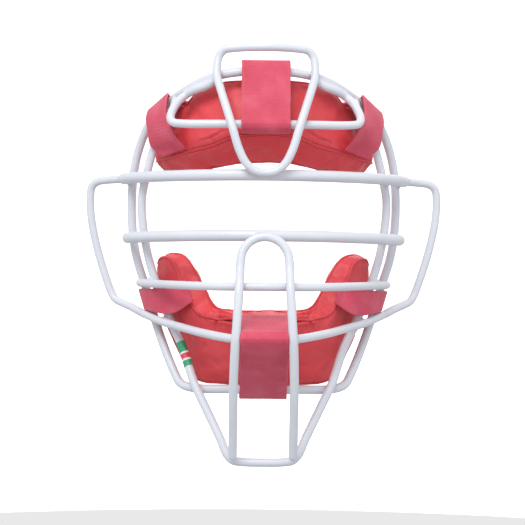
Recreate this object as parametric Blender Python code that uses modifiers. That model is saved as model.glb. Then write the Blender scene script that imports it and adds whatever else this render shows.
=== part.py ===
"""A ball catcher's face mask: a welded wire cage, two strapped-on pads and their hook-and-loop tabs.

Metres, +Z up. The mask looks along -Y and the wearer's face is on the +Y side. The origin is on the
plane of symmetry, level with the wearer's nose, in the plane of the face ring's side wires.
"""

import math

import bmesh
import bpy
from mathutils import Matrix, Vector

MM = 0.001

# Driving dimensions, in millimetres
HEAVY_WIRE = 8.0  # diameter of the brow bar and the eye bar
RING_WIRE = 6.2  # diameter of the face ring
FRAME_WIRE = 6.0  # diameter of the side frame and the nose loop
LIGHT_WIRE = 5.7  # diameter of the cheek, chin, forehead and crown wires
EAR_WIRE = 5.4  # diameter of the ear guards
GAP = 0.3  # clearance between pieces that touch or are welded
WEB = 1.8  # thickness of the strap webbing
PATCH = 0.9  # thickness of a hook or loop patch
LEATHER = 1.4  # thickness of a pad's cover
HEAD_Y = 42.0  # the axis that both pads curve around stands this far behind the origin
CROWN_STRAP = 35.0  # width of the middle strap at the crown
CHIN_STRAP = 32.6  # width of the middle strap at the chin
WIRE_STEP = 13.0  # longest straight piece of a wire
WIRE_TURN = 11.0  # degrees that a wire turns between two of its points
BEVEL_RESOLUTION = 2  # eight sides round a wire

WHITE_COAT = ("white_coating", (0.86, 0.87, 0.90), 0.32)
RED_LEATHER = ("red_leather", (0.78, 0.07, 0.08), 0.48)
RED_WEB = ("red_webbing", (0.66, 0.05, 0.11), 0.72)
RED_HOOK = ("red_hook_and_loop", (0.55, 0.04, 0.08), 0.9)
FOAM = ("pad_foam", (0.82, 0.80, 0.72), 0.95)
LABEL = ("green_label", (0.05, 0.42, 0.20), 0.4)

# Waypoints (x, y, z) of the cage wires, in millimetres, from the middle outwards or from the top down.
# The wires are symmetric, so each list holds the +X half.
RING_HALF = [
    (0, -58, 138), (36, -52, 134.5), (61, -35, 124), (76, -19, 113.5), (86.5, -9, 103),
    (96.5, -2, 77), (99.8, 0, 42), (96.8, 0, 8), (88, -3, -21), (77.5, -13, -53),
    (65.5, -27.5, -81), (60.5, -33, -89), (51.5, -39.6, -92), (26, -48.5, -92), (0, -51, -92),
]
SIDE_FRAME_HALF = [
    (66.8, -34.6, 115.4), (67.4, -34.8, 112.2), (76.5, -25.5, 99), (82.5, -22.3, 83.4), (88, -21.5, 62), (91, -20, 44),
    (87, -20, 9.3), (79.6, -22.5, -16), (69, -29, -42), (58.5, -37.5, -64), (50, -47, -88),
    (44, -51.5, -100), (30.3, -62, -127), (26, -65.3, -136.6), (21.5, -66.8, -141.3), (14, -67.4, -142.5),
    (0, -68, -142.7),
]
BROW_HALF = [(0, -75, 62), (45, -65, 62), (76, -45, 62), (94.8, -24.9, 62), (105.9, -2.5, 62)]
EYE_HALF = [(0, -80, 19), (45, -69, 18.8), (76, -47, 18.3), (95.5, -23.2, 17.8), (102, -9, 17.6)]
CHEEK_HALF = [(0, -95, -17), (40, -84, -17), (68, -55, -16.6), (85.1, -25.2, -16.2), (92.5, -10.5, -16)]
CHIN_HALF = [
    (0, -104, -53.8), (20, -100, -53.2), (44, -75, -50.2), (61, -50, -47), (74.1, -32.6, -44.2),
    (87.1, -13, -39.9), (89.7, -8.9, -39),
]
NOSE_ARCH_RADIUS = 17.0
NOSE_ARCH_TOP = (-87.6, 18.0)  # y, z of the arch's crown, in front of the eye bar
NOSE_LEG = [
    (17.3, -94, -6), (17.8, -101.4, -18), (19.7, -107, -51), (20.2, -106, -58), (21.2, -96, -90), (21.4, -75.5, -137.5),
]
CROWN_LOOP_HALF = [
    (0, -61.5, 154.6), (24, -57.5, 154.0), (30.5, -56, 152.8), (34, -55.5, 148.5), (35.3, -56.8, 142),
    (35.3, -59.3, 134), (33.2, -64.5, 126), (24.6, -78.6, 98.4), (18.6, -82, 79), (13.5, -82.6, 69.5),
    (7.5, -82.4, 64.6), (0, -82.3, 63.2),
]
FOREHEAD_HALF = [
    (0, -72, 98.2), (30, -70, 98.4), (60, -62, 99), (66.8, -59.5, 100.2), (68.5, -56.5, 104),
    (65, -48.5, 114), (58.5, -43.2, 121.2), (51, -48.6, 124.8), (43, -53.4, 127.2),
]
EAR_PATH = [
    (106.9, -0.4, 61.9), (117, 7.5, 61.7), (126.5, 11.5, 60.5), (131, 13.2, 57), (132.4, 14, 48),
    (131.4, 14, 32), (126.6, 13, 9.6), (119.6, 10, -12.4), (114.8, 7.6, -24.5), (112, 6, -28.6),
    (107, 3, -31.2), (100, -1.6, -34), (91.3, -7.0, -38.4),
]
LABEL_ON_FRAME = (-60, -73)  # the label's height range on the side frame, in millimetres

# Heights (mm) of each pad's edges against the angle (degrees) round the head axis
CROWN_TOP = [(0, 133), (20, 131.5), (34, 125), (38, 119.5), (46, 107.5), (62, 90)]
CROWN_RIDGE = [(0, 93), (13, 90.5), (22, 84), (35, 80), (47, 76.5), (62, 74)]
CROWN_BOTTOM = [(0, 73), (13, 72.5), (27, 69), (38, 65.5), (50, 65), (62, 68)]
CHIN_TOP = [
    (0, -35), (19.5, -34.6), (24, -33), (28.7, -20.8), (31.5, -13.5), (34.6, -6), (38, 1.3),
    (42.6, 5.8), (50.6, 6.8), (60, 4), (65, 0),
]
CHIN_RIDGE = [
    (0, -40.5), (20, -41), (28, -38.5), (31, -35), (36, -21), (38.7, -13.5), (41.6, -4.7), (46, 3), (54, 3.5), (65, -5),
]
CHIN_BOTTOM = [(0, -90), (30, -89), (36, -87), (41, -82), (47, -68), (52, -57), (57, -46), (62, -37), (65, -31)]

# Distances (mm) of each pad's edges from the head axis against the angle
CROWN_RADII = {
    "front_top": [(0, 90), (62, 91)], "ridge": [(0, 104), (30, 101), (62, 95)],
    "bottom": [(0, 78), (62, 88)], "back": [(0, 66), (62, 76)],
}
CHIN_RADII = {
    "front_bottom": [(0, 84), (40, 84), (62, 88)], "ridge": [(0, 105), (30, 99), (62, 93)],
    "top": [(0, 88), (62, 88)], "back": [(0, 68), (62, 76)],
}
CROWN_ANGLES = [4.5, 13, 20, 28, 34, 38, 44, 50, 56, 62]
CHIN_ANGLES = [4.5, 12, 20, 24, 28, 31.5, 35, 38.5, 42, 46, 51, 56, 61.5]
PAD_END = 1.0  # degrees by which the foam stops short of the covers' ends
PAD_RAKE = 0.7  # share of that lean which the chin pad's back edge takes

# Both edges of each side strap, root first, in millimetres. The last row is the fold where the tab starts.
CROWN_STRAP_ROWS = [
    ((80, -26.5, 77), (59.5, -46.5, 82)), ((84.5, -28, 86), (65, -50, 90)),
    ((86.5, -27.5, 97), (69.5, -50.5, 98.5)), ((88, -21.5, 105.5), (72.5, -43.5, 110)),
    ((86.8, -12.5, 112.6), (71.6, -28.5, 124)), ((84.5, -4.5, 111), (69.5, -18, 122.5)),
]
CHIN_STRAP_ROWS = [
    ((61.2, -38, -14.5), (55.2, -44.5, -31.5)), ((70, -35.5, -18), (63, -42.5, -36.5)),
    ((77.5, -30.5, -19.8), (71.3, -35.2, -38.6)), ((82.6, -26.5, -20.2), (76.5, -31.5, -38)),
    ((93, -5.5, -20.6), (88, -11, -36.0)), ((92, 1.4, -20.6), (87.3, -3.2, -35.8)),
    ((87.6, 3.3, -20.8), (83.4, -0.4, -35.6)),
]
CROWN_TAB_RUN = (-21, 14, -4)  # from the fold to the tab's free edge
CHIN_TAB_RUN = (-17.5, 11.5, 0.4)

# Middle straps as seen from the side: (y, z) of the webbing's mid-line, root first, in millimetres
CROWN_CENTRE_BAND = [
    (-64.3, 90.6), (-72, 93.2), (-75.4, 95.3), (-76.7, 98.8), (-74.8, 104), (-62.9, 137.6),
    (-61.2, 141.6), (-58, 143.4), (-54.2, 142.4),
]
CROWN_CENTRE_TAB = [(-53.6, 142.1), (-49, 139.2), (-42, 138), (-24, 136)]
CHIN_CENTRE_BAND = [
    (-65.5, -38.4), (-75, -38.8), (-102, -47.4), (-106.8, -48.8), (-108.9, -52.3), (-107.4, -56),
    (-56.6, -96), (-52.5, -97.8), (-48.2, -97),
]
CHIN_CENTRE_TAB = [(-47.5, -96.7), (-42, -93.2), (-36, -92), (-22, -92)]


# ---------- small tools ----------

def clear_scene():
    for obj in list(bpy.data.objects):
        bpy.data.objects.remove(obj)


def make_material(name, colour, roughness):
    """A plain Principled material."""
    material = bpy.data.materials.new(name)
    material.use_nodes = True
    shader = material.node_tree.nodes["Principled BSDF"]
    shader.inputs["Base Color"].default_value = (*colour, 1.0)
    shader.inputs["Roughness"].default_value = roughness
    shader.inputs["Metallic"].default_value = 0.0
    return material


def add_object(name, data, material):
    obj = bpy.data.objects.new(name, data)
    data.materials.append(material)
    parts.objects.link(obj)
    return obj


def read_table(table, at):
    """The table's value at this key, on straight lines between its rows."""
    for (low, first), (high, second) in zip(table, table[1:]):
        if at <= high:
            return first + (second - first) * (at - low) / (high - low)
    return table[-1][1]


def flip_x(point):
    return (-point[0], *point[1:])


def both_halves(half):
    """The full run of a symmetric wire whose half starts in the middle."""
    return [flip_x(p) for p in reversed(half[1:])] + list(half)


def spline_point(before, start, end, after, share):
    """A centripetal Catmull-Rom curve between start and end."""
    knots = [0.0]
    corners = [before, start, end, after]
    for first, second in zip(corners, corners[1:]):
        knots.append(knots[-1] + math.sqrt((second - first).length))
    at = knots[1] + (knots[2] - knots[1]) * share

    def mix(first, second, low, high):
        return first * ((high - at) / (high - low)) + second * ((at - low) / (high - low))

    level = [mix(corners[i], corners[i + 1], knots[i], knots[i + 1]) for i in range(3)]
    upper = [mix(level[i], level[i + 1], knots[i], knots[i + 2]) for i in range(2)]
    return mix(upper[0], upper[1], knots[1], knots[2])


def smooth_run(waypoints, closed=False, steps=24):
    """Finely spaced points of a smooth curve through the waypoints."""
    points = [Vector(p) for p in waypoints]
    if closed:
        padded = [points[-1], *points, points[0], points[1]]
    else:
        padded = [points[0] * 2 - points[1], *points, points[-1] * 2 - points[-2]]
    run = []
    for i in range(1, len(padded) - 2):
        for step in range(steps):
            run.append(spline_point(*padded[i - 1:i + 3], step / steps))
    if not closed:
        run.append(points[-1])
    return run


def thin_out(run, longest=WIRE_STEP, turn=WIRE_TURN):
    """Keeps the points of a run where it has turned or gone far enough."""
    kept = [run[0]]
    heading = (run[1] - run[0]).normalized()
    for here, after in zip(run[1:], run[2:]):
        ahead = (after - here).normalized()
        if (here - kept[-1]).length > longest or heading.angle(ahead) > math.radians(turn):
            kept.append(here)
            heading = ahead
    if (run[-1] - kept[-1]).length < 2.0 and len(kept) > 2:
        kept.pop()
    return kept + [run[-1]]


def wire(name, waypoints, diameter, closed=False):
    """A round wire bent through the waypoints."""
    run = smooth_run(waypoints, closed)
    points = thin_out(run + run[:1])[:-1] if closed else thin_out(run)
    curve = bpy.data.curves.new(name, "CURVE")
    curve.dimensions = "3D"
    curve.bevel_depth = diameter / 2 * MM
    curve.bevel_resolution = BEVEL_RESOLUTION
    curve.use_fill_caps = True
    spline = curve.splines.new("POLY")
    spline.points.add(len(points) - 1)
    for slot, point in zip(spline.points, points):
        slot.co = (*(point * MM), 1.0)
    spline.use_cyclic_u = closed
    return add_object(name, curve, materials["white_coating"])


def loft(name, sections, material):
    """A closed solid through sections that all have the same number of points."""
    mesh = bmesh.new()
    rings = [[mesh.verts.new(Vector(p) * MM) for p in section] for section in sections]
    count = len(rings[0])
    for first, second in zip(rings, rings[1:]):
        for i in range(count):
            j = (i + 1) % count
            mesh.faces.new((first[i], first[j], second[j], second[i]))
    mesh.faces.new(reversed(rings[0]))
    mesh.faces.new(rings[-1])
    bmesh.ops.recalc_face_normals(mesh, faces=mesh.faces)
    bmesh.ops.triangulate(mesh, faces=mesh.faces)
    data = bpy.data.meshes.new(name)
    mesh.to_mesh(data)
    mesh.free()
    return add_object(name, data, material)


def sheet(name, rows, thickness, material, origin=(0, 0, 0)):
    """An open surface through rows of points, given this thickness about its middle."""
    mesh = bmesh.new()
    grid = [[mesh.verts.new((Vector(p) - Vector(origin)) * MM) for p in row] for row in rows]
    for first, second in zip(grid, grid[1:]):
        for i in range(len(first) - 1):
            mesh.faces.new((first[i], first[i + 1], second[i + 1], second[i]))
    data = bpy.data.meshes.new(name)
    mesh.to_mesh(data)
    mesh.free()
    obj = add_object(name, data, material)
    obj.location = Vector(origin) * MM
    solidify = obj.modifiers.new("thickness", "SOLIDIFY")
    solidify.thickness = thickness * MM
    solidify.offset = 0.0
    solidify.use_even_offset = True
    return obj


# ---------- the cage ----------

def nose_loop_run():
    """The arch over the nose and its two legs, as one run of waypoints from leg end to leg end."""
    crown_y, crown_z = NOSE_ARCH_TOP
    leg_top_y = NOSE_LEG[0][1] + 2.2
    arch = []
    for angle in (0, 22.5, 45, 67.5):
        side = math.sin(math.radians(angle))
        down = 1 - math.cos(math.radians(angle))
        depth = crown_y + (leg_top_y - crown_y) * down
        arch.append((NOSE_ARCH_RADIUS * side, depth, crown_z - NOSE_ARCH_RADIUS * down))
    return both_halves(arch + [(NOSE_ARCH_RADIUS, leg_top_y, 1)] + NOSE_LEG)


def make_cage():
    ring = RING_HALF + [flip_x(p) for p in reversed(RING_HALF[1:-1])]
    wire("face_ring", ring, RING_WIRE, closed=True)
    frame = list(reversed(SIDE_FRAME_HALF))
    wire("side_and_throat_frame", both_halves(frame), FRAME_WIRE)
    wire("brow_bar", both_halves(BROW_HALF), HEAVY_WIRE)
    wire("eye_bar", both_halves(EYE_HALF), HEAVY_WIRE)
    wire("cheek_bar", both_halves(CHEEK_HALF), LIGHT_WIRE)
    wire("chin_bar", both_halves(CHIN_HALF), LIGHT_WIRE)
    wire("nose_loop", nose_loop_run(), FRAME_WIRE)
    loop = CROWN_LOOP_HALF + [flip_x(p) for p in reversed(CROWN_LOOP_HALF[1:-1])]
    wire("crown_loop", loop, LIGHT_WIRE, closed=True)
    wire("forehead_bar", both_halves(FOREHEAD_HALF), LIGHT_WIRE)
    wire("ear_guard_right", EAR_PATH, EAR_WIRE)
    wire("ear_guard_left", [flip_x(p) for p in EAR_PATH], EAR_WIRE)


def make_label():
    """A thin open sleeve wrapped round the left side of the side frame."""
    run = [flip_x(p) for p in smooth_run(SIDE_FRAME_HALF)]
    high, low = LABEL_ON_FRAME
    held = [Vector(p) for p in run if low <= p[2] <= high]
    inner = FRAME_WIRE / 2 + GAP
    outer = inner + 0.4
    start, end = held[0], held[-1]
    along = (end - start).normalized()
    place = Matrix.Translation((start + end) / 2 * MM) @ along.to_track_quat("Z", "Y").to_matrix().to_4x4()
    mesh = bmesh.new()
    sides = 16
    half = (end - start).length / 2
    loops = []
    for radius, height in ((outer, half), (outer, -half), (inner, -half), (inner, half)):
        turn = [2 * math.pi * i / sides for i in range(sides)]
        loops.append([mesh.verts.new(Vector((radius * math.cos(a), radius * math.sin(a), height)) * MM) for a in turn])
    for first, second in zip(loops, loops[1:] + loops[:1]):
        for i in range(sides):
            j = (i + 1) % sides
            mesh.faces.new((first[i], second[i], second[j], first[j]))
    bmesh.ops.recalc_face_normals(mesh, faces=mesh.faces)
    data = bpy.data.meshes.new("label_sleeve")
    mesh.to_mesh(data)
    mesh.free()
    label = add_object("label_sleeve", data, materials["green_label"])
    label.matrix_world = place


# ---------- the pads ----------

def round_head(angle, radius, height):
    """The point at this angle, distance from the head axis and height."""
    turn = math.radians(angle)
    return Vector((radius * math.sin(turn), HEAD_Y - radius * math.cos(turn), height))


def read_radii(tables, at):
    return {key: read_table(table, at) for key, table in tables.items()}


def crown_section(angle):
    """The crown pad's outline at an angle, from its front top edge down round the ridge, as (radius, height)."""
    at = abs(angle)
    radii = read_radii(CROWN_RADII, at)
    top, ridge, bottom = (read_table(t, at) for t in (CROWN_TOP, CROWN_RIDGE, CROWN_BOTTOM))
    middle = (top + ridge) / 2
    return [
        (radii["front_top"], top), ((radii["front_top"] + radii["ridge"]) / 2 + 2, middle),
        (radii["ridge"], ridge), (radii["bottom"], bottom), (radii["back"], bottom + 4),
        (radii["back"], middle), (radii["back"] + 3, top - 3),
    ]


def raked_top(at, radii):
    """The chin pad's back top edge: it leans towards the height of the front edge straight in front of it."""
    straight_back = math.degrees(math.asin(math.sin(math.radians(at)) * radii["back"] / radii["top"]))
    upright = read_table(CHIN_TOP, at)
    return upright + min(0.0, read_table(CHIN_TOP, straight_back) - upright) * PAD_RAKE


def chin_section(angle):
    """The chin pad's outline at an angle, from its lower front edge up over the ridge, as (radius, height)."""
    at = abs(angle)
    radii = read_radii(CHIN_RADII, at)
    top, ridge, bottom = (read_table(t, at) for t in (CHIN_TOP, CHIN_RIDGE, CHIN_BOTTOM))
    middle = (bottom + ridge) / 2
    return [
        (radii["front_bottom"], bottom), ((radii["front_bottom"] + radii["ridge"]) / 2 + 2, middle),
        (radii["ridge"], ridge), (radii["top"], top), (radii["back"], raked_top(at, radii) - 3),
        (radii["back"], middle), (radii["back"] + 2, bottom + 2),
    ]


def inset_outline(outline, amount):
    """The outline with every side moved inwards by this amount."""
    points = [Vector(p) for p in outline]
    count = len(points)
    area = sum(points[i].cross(points[(i + 1) % count]) for i in range(count))
    turn = 1 if area > 0 else -1
    moved = []
    for i, point in enumerate(points):
        before = (point - points[i - 1]).normalized()
        after = (points[(i + 1) % count] - point).normalized()
        inwards = Vector((-before.y - after.y, before.x + after.x)) * turn
        half_turn = inwards.length / 2
        moved.append(point + inwards.normalized() * amount / half_turn)
    return moved


def cut_back(first, second, amount):
    """The point on the line from first to second that lies this far in from first."""
    return first + (second - first).normalized() * amount


def panel(name, section, angles, span, material):
    """One sewn cover panel: the section's points from span[0] to span[1], held back from its seams."""
    rows = []
    for angle in angles:
        outline = inset_outline(section(angle), LEATHER / 2)
        points = [round_head(angle, *outline[i % len(outline)]) for i in range(span[0], span[1] + 1)]
        trimmed = [
            cut_back(points[0], points[1], LEATHER),
            *points[1:-1],
            cut_back(points[-1], points[-2], LEATHER),
        ]
        rows.append(trimmed)
    return sheet(name, rows, LEATHER, material)


def pad_angles(half):
    return [-a for a in reversed(half)] + list(half)


def pad_core(name, section, angles):
    """The foam that fills a pad inside its covers."""
    ends = [angles[0] + PAD_END, *angles[1:-1], angles[-1] - PAD_END]
    depth = 2 * LEATHER + GAP
    sections = [[round_head(a, *p) for p in inset_outline(section(a), depth)] for a in ends]
    loft(name, sections, materials["pad_foam"])


def make_crown_pad():
    leather = materials["red_leather"]
    angles = pad_angles(CROWN_ANGLES)
    pad_core("crown_pad_foam", crown_section, angles)
    panel("crown_pad_front_cover", crown_section, angles, (0, 2), leather)
    panel("crown_pad_lower_cover", crown_section, angles, (2, 3), leather)
    panel("crown_pad_face_cover", crown_section, angles, (3, 6), leather)
    panel("crown_pad_top_cover", crown_section, angles, (6, 7), leather)


def make_chin_pad():
    leather = materials["red_leather"]
    angles = pad_angles(CHIN_ANGLES)
    pad_core("chin_pad_foam", chin_section, angles)
    panel("chin_pad_front_cover", chin_section, angles, (0, 2), leather)
    panel("chin_pad_inner_cover", chin_section, angles, (2, 3), leather)
    panel("chin_pad_face_cover", chin_section, angles, (3, 6), leather)
    panel("chin_pad_lower_cover", chin_section, angles, (6, 7), leather)


# ---------- the straps ----------

def centre_rows(profile, width, shift=0.0):
    """Rows across a middle strap whose side view is the profile, moved off it by shift."""
    rows = []
    for i, (y, z) in enumerate(profile):
        before = Vector(profile[max(i - 1, 0)])
        after = Vector(profile[min(i + 1, len(profile) - 1)])
        along = (after - before).normalized()
        side = Vector((-along.y, along.x))
        at = Vector((y, z)) + side * shift
        rows.append([(x, at.x, at.y) for x in (-width / 2, 0, width / 2)])
    return rows


def side_rows(edges, hand):
    """Rows across a side strap between its two edges; hand is 1 on the right and -1 on the left."""
    rows = []
    for outer, inner in edges:
        first, second = Vector(outer), Vector(inner)
        row = [first, (first + second) / 2, second]
        rows.append([Vector((hand * p.x, p.y, p.z)) for p in row])
    return rows


def shift_rows(rows, offset, inset_across=0.0, inset_along=0.0):
    """The rows moved by an offset and drawn in from their sides and ends."""
    moved = [[Vector(p) + offset for p in row] for row in rows]
    for row in moved:
        first, last = row[0].copy(), row[-1].copy()
        row[0] = cut_back(first, last, inset_across)
        row[-1] = cut_back(last, first, inset_across)
    for i in range(len(moved[0])):
        start, after = moved[0][i].copy(), moved[1][i].copy()
        end, before = moved[-1][i].copy(), moved[-2][i].copy()
        moved[0][i] = cut_back(start, after, inset_along)
        moved[-1][i] = cut_back(end, before, inset_along)
    return moved


def make_strap(name, band, tab, inward):
    """A strap's sewn band, its free tab, and the hook and loop patches on the tab's inner side.

    The tab and its hook patch turn together about the fold, where their origins are.
    """
    fold = (Vector(tab[0][0]) + Vector(tab[0][-1])) / 2
    sheet(f"{name}_band", band, WEB, materials["red_webbing"])
    sheet(f"{name}_tab", tab, WEB, materials["red_webbing"], fold)
    to_hook = (WEB + PATCH) / 2 + GAP / 2
    to_loop = to_hook + PATCH + GAP / 2
    hook = shift_rows(tab[-2:], inward * to_hook, inset_across=2.5, inset_along=1.5)
    loop = shift_rows(tab[-2:], inward * to_loop, inset_across=2.5, inset_along=1.5)
    sheet(f"{name}_hook_patch", hook, PATCH, materials["red_hook_and_loop"], fold)
    sheet(f"{name}_loop_patch", loop, PATCH, materials["red_hook_and_loop"])


def side_tab_rows(edges, run, hand):
    """A side strap's tab: it starts a hair past the fold and runs back over the pad."""
    outer, inner = (Vector(p) for p in edges[-1])
    step = Vector(run)
    start = step.normalized() * 3 * GAP
    rows = []
    for share in (0.0, 0.3, 1.0):
        move = start + step * share
        rows.append((outer + move, inner + move))
    return side_rows(rows, hand)


def inward_normal(rows, towards):
    """The unit normal of the rows' last cell, on the side of the point towards."""
    across = Vector(rows[-1][-1]) - Vector(rows[-1][0])
    along = Vector(rows[-1][0]) - Vector(rows[-2][0])
    normal = across.cross(along).normalized()
    middle = (Vector(rows[-1][0]) + Vector(rows[-2][-1])) / 2
    return normal if normal.dot(Vector(towards) - middle) > 0 else -normal


def make_straps():
    crown_tab = centre_rows(CROWN_CENTRE_TAB, CROWN_STRAP)
    make_strap("crown_centre_strap", centre_rows(CROWN_CENTRE_BAND, CROWN_STRAP), crown_tab,
               inward_normal(crown_tab, (0, -30, 0)))
    chin_tab = centre_rows(CHIN_CENTRE_TAB, CHIN_STRAP)
    make_strap("chin_centre_strap", centre_rows(CHIN_CENTRE_BAND, CHIN_STRAP), chin_tab,
               inward_normal(chin_tab, (0, -30, 0)))
    for side, hand in (("left", -1), ("right", 1)):
        for pad, edges, run, height in (
            ("crown", CROWN_STRAP_ROWS, CROWN_TAB_RUN, 60),
            ("chin", CHIN_STRAP_ROWS, CHIN_TAB_RUN, -28),
        ):
            tab = side_tab_rows(edges, run, hand)
            inward = inward_normal(tab, (0, -30, height))
            make_strap(f"{pad}_{side}_strap", side_rows(edges, hand), tab, inward)


clear_scene()
parts = bpy.data.collections.new("catchers_mask")
bpy.context.scene.collection.children.link(parts)
materials = {m[0]: make_material(*m) for m in (WHITE_COAT, RED_LEATHER, RED_WEB, RED_HOOK, FOAM, LABEL)}
make_cage()
make_label()
make_crown_pad()
make_chin_pad()
make_straps()
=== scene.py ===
"""The catcher's mask as it looks: a dipped wire cage, stuffed leather pads and woven straps.

Shapes are worked out in millimetres and scaled by MM as each mesh is made. Names that end in _M, and
Blender's own settings, are in metres. The mask looks along -Y and +Z is up.
"""

import math

import bmesh
import bpy
import numpy as np
from mathutils import Matrix, Vector, kdtree, noise


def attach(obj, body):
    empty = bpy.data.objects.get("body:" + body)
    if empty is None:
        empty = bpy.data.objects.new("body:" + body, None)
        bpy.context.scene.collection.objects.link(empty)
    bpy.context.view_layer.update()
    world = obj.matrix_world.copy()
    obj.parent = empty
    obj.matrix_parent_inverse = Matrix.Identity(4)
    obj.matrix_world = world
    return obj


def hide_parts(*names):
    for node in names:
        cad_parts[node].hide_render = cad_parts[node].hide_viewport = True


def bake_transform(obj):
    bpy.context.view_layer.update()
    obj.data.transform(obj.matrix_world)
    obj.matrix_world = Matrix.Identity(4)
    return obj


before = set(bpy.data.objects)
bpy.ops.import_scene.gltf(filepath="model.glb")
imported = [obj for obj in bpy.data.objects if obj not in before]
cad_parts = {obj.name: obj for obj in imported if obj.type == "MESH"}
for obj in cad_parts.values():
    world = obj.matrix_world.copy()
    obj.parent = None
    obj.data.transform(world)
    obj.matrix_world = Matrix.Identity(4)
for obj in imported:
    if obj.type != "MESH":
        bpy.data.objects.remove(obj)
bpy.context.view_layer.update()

MM = 0.001
ROOT = "cage"

# ---------- the frame's own sizes, in millimetres ----------
HEAVY_R, RING_R, FRAME_R, LIGHT_R, EAR_R = 4.0, 3.1, 3.0, 2.85, 2.7
# how much thicker than in the frame each wire is drawn, all round
COAT_MM = {"ear_guard_left": 0.40, "ear_guard_right": 0.40}
COAT_ELSEWHERE_MM = 0.22
WEB_MM, PATCH_MM, GAP_MM = 1.8, 0.9, 0.3
HEAD_Y = 42.0
CROWN_STRAP_MM, CHIN_STRAP_MM = 35.0, 32.6

RING_HALF = [
    (0, -58, 138), (36, -52, 134.5), (61, -35, 124), (76, -19, 113.5), (86.5, -9, 103),
    (96.5, -2, 77), (99.8, 0, 42), (96.8, 0, 8), (88, -3, -21), (77.5, -13, -53),
    (65.5, -27.5, -81), (60.5, -33, -89), (51.5, -39.6, -92), (26, -48.5, -92), (0, -51, -92),
]
SIDE_FRAME_HALF = [
    (65.6, -31.5, 119.4), (66.8, -34.6, 115.4), (67.4, -34.8, 112.2), (76.5, -25.5, 99),
    (82.5, -22.3, 83.4), (88, -21.5, 62), (91, -20, 44),
    (87, -20, 9.3), (79.6, -22.5, -16), (69, -29, -42), (58.5, -37.5, -64), (50, -47, -88),
    (44, -51.5, -100), (30.3, -62, -127), (26, -65.3, -136.6), (21.5, -66.8, -141.3), (14, -67.4, -142.5),
    (0, -68, -142.7),
]
BROW_HALF = [(0, -75, 62), (45, -65, 62), (76, -45, 62), (94.8, -24.9, 62), (105.9, -2.5, 62)]
EYE_HALF = [(0, -80, 19), (45, -69, 18.8), (76, -47, 18.3), (95.5, -23.2, 17.8), (102, -9, 17.6)]
CHEEK_HALF = [(0, -95, -17), (40, -84, -17), (68, -55, -16.6), (85.1, -25.2, -16.2), (92.5, -10.5, -16)]
CHIN_HALF = [
    (0, -104, -53.8), (20, -100, -53.2), (44, -75, -50.2), (61, -50, -47), (74.1, -32.6, -44.2),
    (87.1, -13, -39.9), (89.7, -8.9, -39),
]
NOSE_ARCH_RADIUS = 17.0
NOSE_ARCH_TOP = (-87.6, 18.0)
NOSE_LEG = [
    (17.3, -94, -6), (17.8, -101.4, -18), (19.7, -107, -51), (20.2, -106, -58), (21.2, -96, -90),
    (21.4, -75.5, -137.5),
]
CROWN_LOOP_HALF = [
    (0, -61.5, 154.6), (24, -57.5, 154.0), (30.5, -56, 152.8), (34, -55.5, 148.5), (35.3, -56.8, 142),
    (35.3, -59.3, 134), (33.2, -64.5, 126), (24.6, -78.6, 98.4), (18.6, -82, 79), (13.5, -82.6, 69.5),
    (7.5, -82.4, 64.6), (0, -82.3, 63.2),
]
FOREHEAD_HALF = [
    (0, -72, 98.2), (30, -70, 98.4), (60, -62, 99), (66.8, -59.5, 100.2), (68.5, -56.5, 104),
    (65, -48.5, 114), (58.5, -43.2, 121.2), (51, -48.6, 124.8), (43, -53.4, 127.2), (37.5, -55.4, 130.2),
]
EAR_PATH = [
    (106.9, -0.4, 61.9), (117, 7.5, 61.7), (126.5, 11.5, 60.5), (131, 13.2, 57), (132.4, 14, 48),
    (131.4, 14, 32), (126.6, 13, 9.6), (119.6, 10, -12.4), (114.8, 7.6, -24.5), (112, 6, -28.6),
    (107, 3, -31.2), (100, -1.6, -34), (91.3, -7.0, -38.4),
]
LABEL_SPAN = (-58.5, -77.0)

# Each pad's outline: heights and radii from the head's axis, as (degrees from the middle, value)
CROWN_PAD = {
    "half": 62.0,
    "top": [(0, 133), (20, 131.5), (34, 125), (38, 119.5), (46, 107.5), (62, 90)],
    "ridge": [(0, 93), (13, 90.5), (22, 84), (35, 80), (47, 76.5), (62, 74)],
    "bottom": [(0, 73), (13, 72.5), (27, 69), (38, 65.5), (50, 65), (62, 68)],
    "r_top": [(0, 90), (62, 91)], "r_ridge": [(0, 104), (30, 101), (62, 95)],
    "r_bottom": [(0, 78), (62, 88)], "r_back": [(0, 66), (62, 76)],
}
CHIN_PAD = {
    "half": 61.5,
    "top": [
        (0, -35), (19.5, -34.6), (24, -33), (28.7, -20.8), (31.5, -13.5), (34.6, -6), (38, 1.3),
        (42.6, 5.8), (50.6, 6.8), (60, 4), (65, 0),
    ],
    "ridge": [
        (0, -40.5), (20, -41), (28, -38.5), (31, -35), (36, -21), (38.7, -13.5), (41.6, -4.7),
        (46, 3), (54, 3.5), (65, -5),
    ],
    "bottom": [
        (0, -90), (30, -89), (36, -87), (41, -82), (47, -68), (52, -57), (57, -46), (62, -37), (65, -31),
    ],
    "r_bottom": [(0, 84), (40, 84), (62, 88)], "r_ridge": [(0, 105), (30, 99), (62, 93)],
    "r_top": [(0, 88), (62, 88)], "r_back": [(0, 68), (62, 76)],
}

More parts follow.
